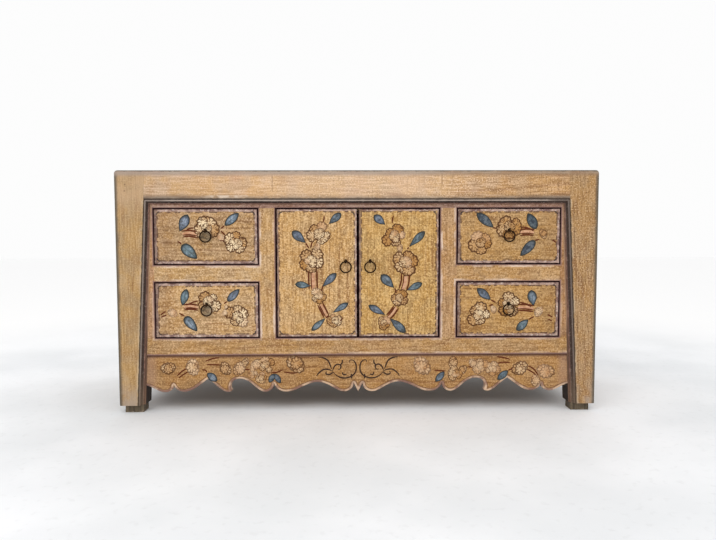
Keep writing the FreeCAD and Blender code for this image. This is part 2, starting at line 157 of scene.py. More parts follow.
def glaze(colour, *layers):
    """A colour under thin layers of paint, each given as how far it covers and its own colour."""
    for cover, tone in layers:
        colour = cover.mix(colour, tone)
    return colour


def lay(colour, roughness, height, depth=0.0006):
    """Runs colour, roughness and a bump of the given depth in metres into the finish's shader."""
    colour.into("Base Color")
    roughness.into("Roughness")
    bump = {"Strength": 0.7, "Distance": depth, "Height": height}
    height.node("ShaderNodeBump", {}, bump).into("Normal")


def stretch(across, along, grain):
    """Waves to the metre for a pattern that runs with the grain of a board."""
    scale = [across] * 3
    scale[grain] = along
    return scale


def age(place, ground, grain, marked, crossed, gritty):
    """The colour, blotches and height of old paint on softwood.

    It is marked along the grain, crossed by cracks and gritty, as far as those three shares say."""
    clouds = place.noise(7, 3).rise(0.3, 0.7)
    warmth = place.noise(28, 3).rise(0.4, 0.6)
    blotch = place.noise(24, 4).rise(0.5, 0.72)
    figure = (place.noise(stretch(12, 1.1, grain), 2) * 60).sine().rise(0.6, 1.0)
    figure = figure * place.noise(6, 2).rise(0.42, 0.58)
    fibre = place.noise(stretch(270, 20, grain), 1)
    crazing = place.noise(stretch(310, 15, 0 if grain == 2 else 2), 1)
    crackle = place.noise(14, 4).rise(0.36, 0.62) * crossed
    cracks = (fibre.rise(0.51, 0.63) * 0.8).most(crazing.rise(0.56, 0.66) * crackle) * marked
    ridges = (fibre.rise(0.49, 0.37) * 0.8).most(crazing.rise(0.42, 0.32) * crackle * 0.6) * marked
    knot = place.scattered(stretch(7.3, 3.1, grain)).rise(0.085, 0.02)
    grit = place.noise(300, 1)
    light = deeper(ground, 1.62, 1.72, 2.0)
    colour = glaze(
        clouds.mix(deeper(ground, 0.9, 0.88, 0.86), deeper(ground, 1.12, 1.11, 1.1)),
        (warmth * 0.75, deeper(ground, 1.1, 0.97, 0.68)),
        (blotch * 0.5, deeper(ground, 0.86, 0.68, 0.48)),
        (figure * 0.6, deeper(ground, 0.5, 0.34, 0.24)),
        (ridges * 0.6, light),
        (cracks * 0.68, deeper(ground, 0.5, 0.4, 0.3)),
        (grit.rise(0.55, 0.68) * (0.6 * gritty), light),
        (grit.rise(0.44, 0.3) * (0.55 * gritty), deeper(ground, 0.42, 0.33, 0.26)),
        (knot * 0.65, deeper(ground, 0.4, 0.26, 0.17)),
    )
    return colour, blotch, ridges * 0.3 - cracks * 0.6 - figure * 0.3


def worn(colour, place, near, line, grime, band, pale, amount):
    """A colour with grime on the arris that is near away, and paint rubbed pale in places beside it."""
    near = near + (place.noise(80, 3) - 0.5) * 0.005
    patchy = place.noise(17, 5).rise(0.42, 0.62)
    rubbed = near.rise(line + band, line + band * 0.2) * patchy * amount
    return glaze(colour, (rubbed, pale), (near.rise(line, line * 0.4) * 0.85, grime))


edge_grime = paint(86, 78, 68)
edge_pale = paint(214, 192, 164)
edge_line = 0.0025
edge_band = 0.005
calm_grit = 0.7


def dress(node, coat):
    """Gives a piece of the frame its finish."""
    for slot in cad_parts[node].material_slots:
        slot.material = coat


def ochre(node, ground, grain, lo, hi, line=edge_line):
    """Dresses a board from lo to hi in aged ochre paint, with dark arrises rubbed pale beside the dark."""
    coat, place = new_coat(node + "_paint")
    colour, blotch, height = age(place, ground, grain, marked=0.5, crossed=0.5, gritty=calm_grit)
    x_gap, y_gap, z_gap = [(at - low).least(high - at) for at, low, high in zip(place.axes(), lo, hi)]
    to_arris = x_gap.least(y_gap).most(x_gap.most(y_gap).least(z_gap))
    colour = worn(colour, place, to_arris, line, edge_grime, edge_band, edge_pale, amount=0.5)
    lay(colour, 0.52 + blotch * 0.14, height)
    dress(node, coat)


edge_grey = paint(172, 160, 144)
edge_mauve = paint(158, 141, 130)
edge_brown = paint(146, 118, 94)
top_fade = (0.018, 0.007)
top_line = 0.0042
top_band = 0.006


def top_edge(colour, place, near):
    """A colour faded and rubbed grey along the front arris of the top, which is near away."""
    faded = place.axes()[0].rise(0.1, 0.3).mix(edge_mauve, edge_brown)
    colour = (near.rise(*top_fade) * 0.8).mix(colour, faded)
    return worn(colour, place, near, top_line, edge_grime, top_band, edge_grey, amount=0.4)


def round_spot(x, z, middle, far, near):
    """1 where a point of a front is within near of a middle, falling to 0 at far from it."""
    aside = x - middle[0]
    above = z - middle[1]
    return (aside * aside + above * above).rise(far ** 2, near ** 2)


post_ground = paint(171, 142, 103)
front_posts = {"left": (post_ground, 0.5, calm_grit), "right": (paint(165, 133, 95), 0.65, 1.6)}
faded_pink = paint(190, 160, 130)
olive_grime_and_shade = paint(84, 78, 68)
foot_dust = paint(170, 152, 136)
dusty_to = 0.1
# Painted shade for the recess beside the bead and for the inner face of the front legs.
recess_shade_pink = paint(156, 124, 102)
under_apron_shade = paint(95, 70, 58)
foot_recess_shade = paint(126, 98, 78)
recess_shade_from = (0.004, 0.009)
inner_leg_shade = paint(40, 31, 27)
inner_leg_shade_from = (0.0125, 0.0145)
scratch = paint(96, 66, 42)
scratch_from_bead = 0.0075
bead_step = 0.0155
bead_pale = paint(206, 184, 154)
bead_line = 0.0012
bead_band = 0.0045
taper = 0.0285
tapered_height = 0.568
post_lean = taper / tapered_height
top_rail_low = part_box("top_rail_front")[0].z
pin_holes = ((-0.5536, 0.552), (-0.5554, 0.537))
pin_hole_radius = 0.0019
pin_hole = paint(84, 58, 40)
lo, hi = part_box("post_front_right")
bead_foot = lo.x + bead_step + post_lean * top_rail_low
for side, (ground, marked, gritty) in front_posts.items():
    coat, place = new_coat("post_paint_front_" + side)
    x, y, z = place.axes()
    out = abs(x)
    outer = hi.x - out
    deep = y - lo.y
    top = hi.z - z
    side_arris = outer.most(deep)
    top_arris = top.most(outer.least(deep))
    inner = abs(out + z * post_lean - bead_foot)
    beside_bead = inner.most(deep) + z.rise(top_rail_low - 0.002, top_rail_low + 0.002)
    on_left = x.rise(0.1, -0.1)
    front_grit = calm_grit + deep.rise(0.006, 0.002) * (gritty - calm_grit)
    colour, blotch, height = age(place, ground, 2, marked, crossed=0.4, gritty=front_grit)
    fading = z.rise(0.46, 0.54) * on_left * place.noise(14, 3).rise(0.3, 0.55)
    dust = z.rise(dusty_to, 0.015) * place.noise(30, 4).rise(0.35, 0.6)
    # The post darkens in a soft band towards its outer arris: partly grime, partly painted shade.
    arris_grime_and_shade = side_arris + (place.noise(60, 4) - 0.5) * 0.004
    colour = glaze(
        colour,
        (fading * 0.6, faded_pink),
        (dust * 0.8, foot_dust),
        (arris_grime_and_shade.rise(0.0115, 0.003) * 0.9, olive_grime_and_shade),
    )
    colour = top_edge(colour, place, top_arris)
    colour = worn(colour, place, beside_bead, bead_line, edge_grime, bead_band, bead_pale, amount=0.5)
    # Painted shade: the recess behind the front face, beside the bead, is darker and pinker, darkest under
    # the apron and lighter again near the foot, and the leg's inner face is near black low down.
    inside = outer.rise(0.03, 0.04) * top.rise(0.0005, 0.002)
    recess_shade = deep.rise(*recess_shade_from) * inside
    seam = inner.rise(0.0009, 0.0002) * z.rise(top_rail_low - 0.001, top_rail_low + 0.001)
    scored = abs(inner - scratch_from_bead).rise(0.0013, 0.0005) * deep.rise(0.004, 0.002)
    scored = scored * outer.rise(0.03, 0.035) * z.rise(top_rail_low, top_rail_low - 0.01)
    scored = scored * place.noise(20, 3).rise(0.36, 0.5) * (1 - on_left)
    colour = glaze(
        colour,
        (recess_shade * 0.8, recess_shade_pink),
        (recess_shade * z.rise(0.24, 0.17) * 0.85, under_apron_shade),
        (recess_shade * z.rise(0.09, 0.03) * 0.6, foot_recess_shade),
        (deep.rise(*inner_leg_shade_from) * inside * z.rise(0.2, 0.16) * 0.95, inner_leg_shade),
        (seam * on_left * 0.4, edge_grime),
        (scored * 0.5, scratch),
    )
    for hole in pin_holes:
        sunk = round_spot(x, z, hole, pin_hole_radius, 0.5 * pin_hole_radius) * deep.rise(0.02, 0.01)
        colour = (sunk * 0.75).mix(colour, pin_hole)
    lay(colour, 0.52 + blotch * 0.14, height)
    dress("post_front_" + side, coat)
    back_post = "post_back_" + side
    ochre(back_post, post_ground, 2, *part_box(back_post))


# Foot pads. A dark block of hardwood under each leg, sawn across the grain and nailed on.
# Their lower edges are scuffed from being pushed about the floor.
coat, place = new_coat("foot_wood")
fibre = place.noise((190, 190, 14), 3).rise(0.3, 0.7)
scuffs = place.noise((90, 90, 160), 4).rise(0.52, 0.66)
colour = fibre.mix(paint(74, 64, 52), paint(112, 99, 80))
colour = (scuffs * place.axes()[2].rise(0.006, 0.0) * 0.7).mix(colour, paint(150, 136, 118))
lay(colour, 0.62 + scuffs * 0.2, fibre, depth=0.0008)
dress("foot_pads", coat)


# Top rails, and the back and side rails below. Painted softwood with its grain along the rail, tenoned
# into the posts. The front rail has a lighter ground, painted light from above that is brightest in the
# middle, and it is chipped pale along its lower arris under a band of painted shade.
def between(node, axis, reach):
    """The box of a rail without the tenons that go into the posts: it ends at reach on both sides."""
    lo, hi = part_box(node)
    lo[axis], hi[axis] = reach
    return lo, hi


# A lighter ground for the top, painted light from above.
top_ground_lit = paint(195, 163, 129)
cold_stain = (0.92, 0.95, 1.0, 1.0)
warm_stain = (0.84, 0.78, 0.66, 1.0)
split_at = -0.204
split_from = (0.011, 0.013)
split_to = (0.052, 0.048)
chalk_at = -0.31
chalk_reach = (0.06, 0.035)
lower_line = 0.0036
lower_band = 0.004
coat, place = new_coat("top_rail_front_paint")
x, y, z = place.axes()
lo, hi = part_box("top_rail_front")
deep = y - lo.y
down = hi.z - z
above = down.most(deep)
below = (z - lo.z).most(deep)
rough = x.rise(-0.28, -0.02)
ageing = (0.6 + rough * 0.3, 0.2 + rough * 0.7, calm_grit + rough * 0.6)
colour, blotch, height = age(place, top_ground_lit, 0, *ageing)
pinkish = place.noise(9, 2).rise(0.45, 0.65) * x.rise(0.3, 0.0)
colour = (pinkish * 0.4).mix(colour, paint(206, 166, 142))
colour = x.rise(-0.3, -0.47).mix(colour, cold_stain, "MULTIPLY")
colour = x.rise(0.22, 0.44).mix(colour, warm_stain, "MULTIPLY")
# A painted pool of light makes the rail lighter towards the middle.
colour = (abs(x).rise(0.3, 0.1) * 0.3).mix(colour, paint(224, 196, 162))
split = (abs(x - split_at) + (place.noise((30, 30, 90), 2) - 0.5) * 0.003).rise(0.0011, 0.0004)
split = split * down.rise(*split_from) * down.rise(*split_to) * deep.rise(0.02, 0.01)
colour = (split * 0.6).mix(colour, paint(112, 80, 58))
colour = top_edge(colour, place, above)
# Painted shade along the rail's lower arris, deeper towards the ends.
lower_arris_shade = below.rise(0.014, 0.003) * (0.4 + abs(x).rise(0.25, 0.45) * 0.45)
chalky = place.noise((26, 40, 40), 3).rise(0.4, 0.55) * abs(x - chalk_at).rise(*chalk_reach)
chalky = chalky * below.rise(0.011, 0.006)
colour = glaze(colour, (lower_arris_shade, paint(116, 96, 80)), (chalky * 0.7, paint(228, 210, 190)))
colour = worn(colour, place, below, lower_line, paint(84, 70, 60), lower_band, edge_grey, amount=0.3)
lay(colour, 0.5 + blotch * 0.14, height)
dress("top_rail_front", coat)

back_post_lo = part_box("post_back_right")[0]
along_side = (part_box("post_front_right")[1].y, back_post_lo.y)
along_back = (-back_post_lo.x, back_post_lo.x)
for level in ("top", "bottom"):
    name = level + "_rail_back"
    ochre(name, post_ground, 0, *between(name, 0, along_back))
    for side in ("left", "right"):
        name = level + "_rail_" + side
        ochre(name, post_ground, 1, *between(name, 1, along_side))


# Bead moulding. A scratched softwood strip, a round between two grooves with a hollow beside it,
# mitred at the corners and painted dark, with the crown of the round rubbed grey and given a painted
# highlight, dimmer on the uprights and near the floor, and dimmest on the right, which is in painted shade.
bead_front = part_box("bead_top")[0].y
crown_depth = (0.0007, 0.0002)
hollow_depth = (0.003, 0.006)
lip_depth = (0.0072, 0.0082)
coat, place = new_coat("dark_bead")
x, y, z = place.axes()
deep = y - bead_front
streak = place.noise((60, 160, 60), 4)
low_down = z.rise(0.12, 0.03)
upright = abs(x).rise(0.45, 0.47)
shaded = x.rise(0.46, 0.48)
# The crown of the round is rubbed grey and partly a painted highlight, dimmed on the uprights, near the
# floor and on the right.
crown = (deep + (streak - 0.5) * 0.0012).rise(*crown_depth)
hollow = deep.rise(*hollow_depth)
lip = deep.rise(*lip_depth)
flecks = place.noise(210, 3).rise(0.58, 0.68)
rubbed = crown * (0.95 - upright * 0.4 - low_down * 0.3 - shaded * 0.25)
colour = glaze(
    hollow.mix(paint(40, 32, 30), paint(44, 31, 29)),
    (upright, paint(66, 53, 47)),
    (streak.rise(0.45, 0.65) * 0.3, paint(90, 72, 62)),
    (rubbed, paint(164, 150, 140)),
    (lip * 0.75, paint(124, 90, 76)),
    (lip * streak.rise(0.5, 0.62) * 0.5, paint(160, 124, 108)),
    (flecks * 0.25, paint(170, 152, 138)),
    (low_down * 0.5, paint(126, 107, 88)),
)
lay(colour, 0.5 + streak * 0.2, streak + flecks * 0.5, depth=0.0005)
for side in ("top", "left", "right"):
    dress("bead_" + side, coat)


# Face frame, set back behind the bead: rails and mullions of painted softwood, tenoned together and into
# the posts, with wedge-shaped scribe strips beside the drawers. It is worn grey mauve round its openings.
opening_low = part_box("bottom_rail_front")[1].z
opening_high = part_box("door_stop")[1].z
mullion_lo, mullion_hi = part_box("mullion_right")
shelf_lo, shelf_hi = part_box("drawer_rail_right")
drawer_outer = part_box("scribe_strip_right")[0].x
face = mullion_lo.y
apron_tongue = 0.006
apron_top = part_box("apron")[1].z - apron_tongue


def to_opening(x, y, z):
    """How far a point of the face frame is from the nearest opening for doors or drawers."""
    out = abs(x)
    beside_doors = (out - mullion_lo.x).most((opening_low - z).most(z - opening_high))
    beside_drawers = (mullion_hi.x - out).most(out - drawer_outer)
    over = (shelf_hi.z - z).most(z - opening_high)
    under = (opening_low - z).most(z - shelf_lo.z)
    return beside_doors.least(beside_drawers.most(over)).least(beside_drawers.most(under))


def to_opening_or_apron(x, y, z):
    """The same for the bottom rail, whose lower arris over the apron is worn like the openings, with painted
    shade along it.
    """
    return to_opening(x, y, z).least((z - apron_top).most(y - face))


rim_mauve = paint(148, 116, 108)
rim_pale = paint(226, 204, 186)
arris_dark_and_shade = paint(90, 58, 56)
# Painted shade in the gaps round the doors and drawers.
gap_shade = paint(50, 20, 25)
rim_line = 0.0046
rim_band = 0.004
for name, ground, grain, reach, rubbed in (
    ("head_rail", paint(148, 116, 99), 0, to_opening, 0.25),
    ("bottom_rail_front", paint(173, 138, 95), 0, to_opening_or_apron, 0.45),
    ("mullion_left", paint(181, 148, 106), 2, to_opening, 0.8),
    ("mullion_right", paint(175, 139, 99), 2, to_opening, 0.8),
    ("drawer_rail_left", paint(182, 151, 111), 0, to_opening, 0.8),
    ("drawer_rail_right", paint(175, 140, 97), 0, to_opening, 0.8),
    ("scribe_strip_left", paint(174, 136, 101), 2, to_opening, 0.3),
    ("scribe_strip_right", paint(168, 130, 94), 2, to_opening, 0.3),
):
    coat, place = new_coat(name + "_paint")
    colour, blotch, height = age(place, ground, grain, marked=0.6, crossed=0.4, gritty=1.1)
    near = reach(*place.axes())
    colour = glaze(
        worn(colour, place, near, rim_line, rim_mauve, rim_band, rim_pale, rubbed),
        # Dark reddish paint and painted shade close to the openings and along the bottom rail's lower arris.
        (near.rise(0.0032, 0.0006) * 0.6, arris_dark_and_shade),
        # Painted shade in the gaps at the openings.
        (to_opening(*place.axes()).rise(0.0013, 0.0004), gap_shade),
    )
    lay(colour, 0.52 + blotch * 0.14, height)
    dress(name, coat)


# Panels and boards. The top and the sides are painted like the frame that they are let into.
# What stays behind the front is bare planed wood: back, bottom board, partitions, bearers and guides.
top_joint_line = 0.002
side_groove_line = 0.012
# The top panel has the same lighter ground, painted light from above.
ochre("top_panel", top_ground_lit, 0, *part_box("top_panel"), top_joint_line)
for side in ("left", "right"):
    name = "side_panel_" + side
    ochre(name, post_ground, 2, *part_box(name), side_groove_line)


def bare_wood(node, grain, light, dark):
    """Leaves a piece as planed softwood: growth rings, pores along the grain, and a few handling stains."""
    coat, place = new_coat(node + "_wood")
    late = (place.noise(stretch(26, 1.6, grain), 2) * 60).sine().rise(-0.6, 1.0)
    pores = place.noise(stretch(420, 9, grain)).rise(0.5, 0.7)
    stain = place.noise(11, 4).rise(0.5, 0.75)
    colour = glaze(
        (late * 0.7).mix(light, dark),
        (pores * 0.4, deeper(dark, 0.55, 0.5, 0.45)),
        (stain * 0.35, deeper(dark, 0.7, 0.62, 0.55)),
    )
    lay(colour, 0.64 + stain * 0.12, late * 0.4 - pores * 0.6, depth=0.0005)
    dress(node, coat)


pale_wood = paint(196, 162, 118)
late_wood = paint(164, 124, 82)
inner_boards = (
    ("back_panel", "bottom_board", "door_stop"),
    ("drawer_bearers", "drawer_guides"),
    ("partition_left", "partition_right"),
)
for grain, names in enumerate(inner_boards):
    for name in names:
        bare_wood(name, grain, pale_wood, late_wood)


# Apron. A softwood board sawn to a scalloped edge, tongued into the bottom rail and housed in the posts.
# Its lower arris is eased with a knife and rubbed pale, and a spray of flowers is painted along it.
mm = 0.001
touching = 0.00001
eased = ((0.0, 2.2), (0.7, 0.65), (1.5, 0.0))
square_ends = 10 * mm
saw_step = 0.5 * mm
grid = 4 * mm
sharp_from = math.radians(40)
carved = bmesh.new()
carved.from_mesh(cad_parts["apron"].data)
bmesh.ops.remove_doubles(carved, verts=carved.verts, dist=touching)
carved.normal_update()
apron_lo, apron_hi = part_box("apron")
front_faces = [f for f in carved.faces if all(v.co.y - apron_lo.y < touching for v in f.verts)]
apron_front = bmesh.ops.dissolve_faces(carved, faces=front_faces)["region"][0]
loops = [list(apron_front.verts)]
for (before, _), (inset, _) in zip(eased, eased[1:]):
    further = (inset - before) * mm
    bmesh.ops.inset_individual(carved, faces=[apron_front], thickness=further, use_even_offset=True)
    loops.append(list(apron_front.verts))
for loop, (_, back) in zip(loops, eased):
    for vert in loop:
        vert.co.y += back * mm

sawn = []
for a, b in zip(loops[0], loops[0][1:] + loops[0][:1]):
    if max(a.co.z, b.co.z) < apron_top - square_ends:
        count = max(1, round((b.co - a.co).length / saw_step))
        sawn += [a.co.lerp(b.co, k / count) for k in range(count)]
sawn_edge = KDTree(len(sawn))
for number, point in enumerate(sawn):
    sawn_edge.insert((point.x, 0, point.z), number)
sawn_edge.balance()


def from_edge(x, z):
    """How far a point of the apron's front is from its sawn edge, in metres."""
    return sawn_edge.find((x, 0, z))[2]


columns = range(math.floor(apron_lo.x / grid), math.ceil(apron_hi.x / grid))
rows = range(math.floor(apron_lo.z / grid), math.ceil(apron_top / grid) - 1)
spread = [((i + 0.5 * (k % 2)) * grid, k * grid) for i in columns for k in rows]
spread = [Vector(spot) for spot in spread if from_edge(*spot) > 0.9 * grid]
outline = [Vector((v.co.x, v.co.z)) for v in loops[-1]]
flat = delaunay_2d_cdt(outline + spread, [], [list(range(len(outline)))], 1, touching / 10)
corners = []
for spot, origin in zip(flat[0], flat[3]):
    on_outline = [number for number in origin if number < len(outline)]
    if on_outline:
        corners.append(loops[-1][on_outline[0]])
    else:
        corners.append(carved.verts.new((spot.x, apron_lo.y, spot.y)))
carved.faces.remove(apron_front)
for triangle in flat[2]:
    carved.faces.new([corners[number] for number in triangle])
bmesh.ops.delete(carved, geom=[v for v in carved.verts if not v.link_faces], context="VERTS")
rim_layer = carved.verts.layers.float.new("rim")
for vert in carved.verts:
    vert[rim_layer] = from_edge(vert.co.x, vert.co.z) / mm
bmesh.ops.recalc_face_normals(carved, faces=carved.faces)
apron_mesh = bpy.data.meshes.new("apron_board")
carved.to_mesh(apron_mesh)
carved.free()
apron_mesh.shade_smooth()
apron_mesh.set_sharp_from_angle(angle=sharp_from)


def into_scene(name, data):
    """A new object in the scene, with the given mesh, lamp or camera."""
    made = bpy.data.objects.new(name, data)
    bpy.context.scene.collection.objects.link(made)
    return made


def mark(place, name):
    """The value of a piece's own mark, such as rim, at a point of its surface."""
    return place.node("ShaderNodeAttribute", {"attribute_name": name}, {}, "Fac")


apron_board = into_scene("apron_board", apron_mesh)
apron_ground = paint(166, 128, 83)
rubbed_edge = (6.2, 4.4)
line_above_edge = (8.6, 7.4)
post_shadow = (0.485, 0.505)
joint_shadow = (apron_top - 0.009, apron_top - 0.002)
coat, place = new_coat("apron_paint")
colour, blotch, height = age(place, apron_ground, 0, marked=0.6, crossed=0.4, gritty=1.2)
x, y, z = place.axes()
rim = mark(place, "rim") + (place.noise(80, 3) - 0.5) * 4
edge = rim.rise(*rubbed_edge)
band = place.noise(40, 4).rise(0.42, 0.6).mix(paint(138, 106, 97), paint(218, 188, 160))
colour = glaze(
    colour,
    (abs(x).rise(*post_shadow) * 0.45, paint(166, 132, 112)),
    (edge * 0.85, band),
    (rim.rise(*line_above_edge) * (1 - edge) * 0.55, paint(96, 62, 44)),
    (z.rise(*joint_shadow) * 0.85, paint(86, 54, 46)),
)
lay(colour, 0.5 + blotch * 0.15, height + edge * 0.4)
apron_mesh.materials.append(coat)
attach(apron_board, "carcass")
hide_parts("apron")


class Relief:
    """Raised paint on the front of a board, in millimetres right and up from a middle on its face."""

    marks = ("rim", "side", "along", "tint", "blush")
    sunk = -0.3
    mound_rings = (1.0, 0.94, 0.84, 0.66, 0.4)
    stroke_ribs = (-1, -0.5, 0, 0.5, 1)
    blunt_end = 0.35
    swell = 2.6

    def __init__(self, middle):
        self.middle = middle
        self.points = []
        self.faces = []
        self.values = []

    def point(self, x, z, lift, *values):
        self.points.append(self.middle + Vector((x, -lift, z)) * mm)
        self.values.append(values)
        return len(self.points) - 1

    def mound(self, outline, middle, crown, lift, tint, blush):
        """A closed bump over an outline of (x, z, side, along), with crown as its height above lift."""
        rings = []
        for share in self.mound_rings:
            height = self.sunk if share == 1.0 else lift + crown * math.sqrt(1 - share ** 2)
            ring = []
            for spot in outline:
                x, z, side, along = [m + (s - m) * share for s, m in zip(spot, middle)]
                ring.append(self.point(x, z, height, share, side, along, tint, blush))
            rings.append(ring)
        x, z, side, along = middle
        top = self.point(x, z, lift + crown, 0.0, side, along, tint, blush)
        count = len(outline)
        for outer, inner in zip(rings, rings[1:]):
            for k in range(count):
                after = (k + 1) % count
                self.faces.append((outer[k], outer[after], inner[after], inner[k]))
        for k in range(count):
            self.faces.append((rings[-1][k], rings[-1][(k + 1) % count], top))
        self.faces.append(tuple(reversed(rings[0])))

    def stroke(self, path, breadth, height, tint, blush=0.0, beside=0.0):
        """A closed ribbon along a smooth path or beside it, drawn to a point at both ends."""
        line = smooth(path)
        rows = []
        last = len(line) - 1
        for i, (x, z) in enumerate(line):
            before = line[max(i - 1, 0)]
            after = line[min(i + 1, last)]
            heading = math.atan2(after[1] - before[1], after[0] - before[0])
            along = i / last
            half = breadth / 2 * min(1.0, self.blunt_end + self.swell * min(along, 1 - along))
            row = []
            for across in self.stroke_ribs:
                at_edge = abs(across) == 1 or i in (0, last)
                lift = self.sunk if at_edge else height * (1 - across ** 2)
                out = beside + across * half
                spot = (x - out * math.sin(heading), z + out * math.cos(heading))
                row.append(self.point(*spot, lift, abs(across), across, along, tint, blush))
            rows.append(row)
        for i, (row, after) in enumerate(zip(rows, rows[1:])):
            for k in range(4):
                self.faces.append((row[k], after[k], after[k + 1], row[k + 1]))
            behind = [row[4], after[4], after[0], row[0]]
            if i == 0:
                behind += row[1:4]
            if i == last - 1:
                behind[2:2] = after[3:0:-1]
            self.faces.append(tuple(behind))

    def piece(self, name, coat, body):
        """The finished paint as one piece, riding on the body that its board belongs to."""
        mesh = bpy.data.meshes.new(name)
        mesh.from_pydata(self.points, [], self.faces)
        for number, label in enumerate(self.marks):
            layer = mesh.attributes.new(label, "FLOAT", "POINT")
            layer.data.foreach_set("value", [values[number] for values in self.values])
        shaped = bmesh.new()
        shaped.from_mesh(mesh)
        bmesh.ops.recalc_face_normals(shaped, faces=shaped.faces)
        shaped.to_mesh(mesh)
        shaped.free()
        mesh.shade_smooth()
        mesh.materials.append(coat)
        made = into_scene(name, mesh)
        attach(made, body)


def smooth(path):
    """Points close together on a smooth curve through a path's own points."""
    step = 1.6
    ends = [path[0], *path, path[-1]]
    line = []
    for a, b, c, d in zip(ends, ends[1:], ends[2:], ends[3:]):
        count = max(3, round(math.dist(b, c) / step))
        for k in range(count):
            t = k / count
            spot = []
            for p, q, r, s in zip(a, b, c, d):
                bend = (2 * p - 5 * q + 4 * r - s) * t ** 2 + (3 * q - p - 3 * r + s) * t ** 3
                spot.append((2 * q + (r - p) * t + bend) / 2)
            line.append(spot)
    return line + [list(path[-1])]


def leaf(relief, base_x, base_z, tip_x, tip_z, breadth, full, tint, shade):
    """A plump leaf from its stalk to its tip, widest at the share full of its length."""
    steps = 15
    plump = 0.68
    crown = 0.7
    lift = 0.15
    crown_at = 0.48
    run = Vector((tip_x - base_x, tip_z - base_z))
    across = Vector((-run.y, run.x)).normalized()
    bend = math.log(0.5) / math.log(full)
    edges = []
    for side in (-1, 1):
        edge = []
        for k in range(1, steps):
            along = k / steps
            half = breadth / 2 * math.sin(math.pi * along ** bend) ** plump
            spot = Vector((base_x, base_z)) + run * along + across * (side * half)
            edge.append((spot.x, spot.y, side * half * 2 / breadth, along))
        edges.append(edge)
    outline = [(base_x, base_z, 0, 0), *edges[0], (tip_x, tip_z, 0, 1), *reversed(edges[1])]
    middle = Vector((base_x, base_z)) + run * crown_at
    relief.mound(outline, (middle.x, middle.y, 0, crown_at), crown, lift, tint, shade)


scallops = 9


def petal(relief, x, z, turn, length, breadth, lift, tint, blush):
    """A petal with a scalloped edge, lying out from its flower along turn and broadest at its end."""
    crown = 0.4
    broaden = 0.24
    out = Vector((math.cos(turn), math.sin(turn)))
    across = Vector((-out.y, out.x))
    outline = []
    points = 6 * scallops
    for k in range(points):
        angle = math.tau * k / points
        along = math.cos(angle)
        side = math.sin(angle)
        bulge = 0.9 + 0.14 * abs(math.cos(scallops / 2 * angle))
        spot = Vector((x, z)) + out * (length / 2 * along * bulge)
        spot += across * (breadth / 2 * side * (1 + broaden * along) * bulge)
        outline.append((spot.x, spot.y, side, (along + 1) / 2))
    relief.mound(outline, (x, z, 0, 0.5), crown, lift, tint, blush)


def flower(relief, x, z, radius, seed, faded, flush=0.0):
    """A ruffled flower: five broad petals under four small ones, with the colour gone from one side."""
    broad = (5, 0.54, 0.95, 0.1, 0.25)
    small = (4, 0.22, 0.6, 0.5, -0.25)
    blushing = 0.15
    draw = random.Random(seed)
    lost = draw.uniform(0, math.tau)
    for count, reach, size, lift, gone in (broad, small):
        start = draw.uniform(0, math.tau)
        for k in range(count):
            turn = start + math.tau * (k + draw.uniform(-0.22, 0.22)) / count
            out = radius * reach * draw.uniform(0.75, 1.15)
            length = radius * size * draw.uniform(0.75, 1.15)
            side_lost = gone + reach * math.cos(turn - lost)
            tint = faded + side_lost * (1.1 - faded) + draw.uniform(-0.15, 0.15)
            tint = min(1.0, max(0.0, tint))
            blush = draw.uniform(0.3, 0.7) if draw.random() < blushing else flush
            breadth = length * draw.uniform(0.9, 1.2)
            spot = (x + out * math.cos(turn), z + out * math.sin(turn))
            petal(relief, *spot, turn, length, breadth, lift + 0.1 * (k % 2), tint, blush)


def bud(relief, x, z, radius, seed, faded, blush):
    """A closed bud: two side petals and one folded over them."""
    folds = ((-1.1, 0.1), (1.1, 0.15), (0.0, 0.35))
    out = 0.3 * radius
    length = 1.35 * radius
    breadth = 1.2 * radius
    draw = random.Random(seed)
    turn = draw.uniform(0, math.tau)
    for shift, lift in folds:
        spot = (x + out * math.cos(turn + shift), z + out * math.sin(turn + shift))
        tint = min(1.0, faded * draw.uniform(0.7, 1.3))
        flush = blush * draw.uniform(0.6, 1.2)
        petal(relief, *spot, turn + shift * 0.6, length, breadth, lift, tint, flush)


def ring_middle(pull):
    """Where the middle of a hanging ring is, as x and z."""
    lo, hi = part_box(pull + "_ring")
    return (lo.x + hi.x) / 2, (lo.z + hi.z) / 2


leaf_coat, place = new_coat("leaf_paint")
rim, side, along, teal, shade = (mark(place, name) for name in Relief.marks)
mottle = place.noise(120, 5)
edge = (rim + (mottle - 0.5) * 0.6).rise(0.4, 0.95)
middle_tone = teal.mix(paint(118, 126, 144), paint(110, 132, 138))
edge_tone = teal.mix(paint(62, 72, 90), paint(58, 76, 84))
rib = abs(side).rise(0.1, 0.03)
veins = (along * 34 - abs(side) * 9).sine().rise(0.6, 0.95)
dark_tone = mottle.rise(0.42, 0.58).mix(paint(44, 52, 64), paint(88, 94, 98))
colour = glaze(
    middle_tone,
    (edge, edge_tone),
    (mottle.rise(0.52, 0.62) * (1 - edge) * 0.8, paint(160, 172, 186)),
    (mottle.rise(0.48, 0.38) * 0.7, paint(80, 80, 74)),
    (veins * 0.3, paint(54, 62, 72)),
    (rib * 0.45, paint(52, 60, 70)),
    (shade * 0.8, dark_tone),
    (rim.rise(0.7, 0.86) * 0.9, paint(46, 48, 44)),
)
lay(colour, 0.5 + mottle * 0.15, mottle - rib - veins * 0.2, depth=0.0004)

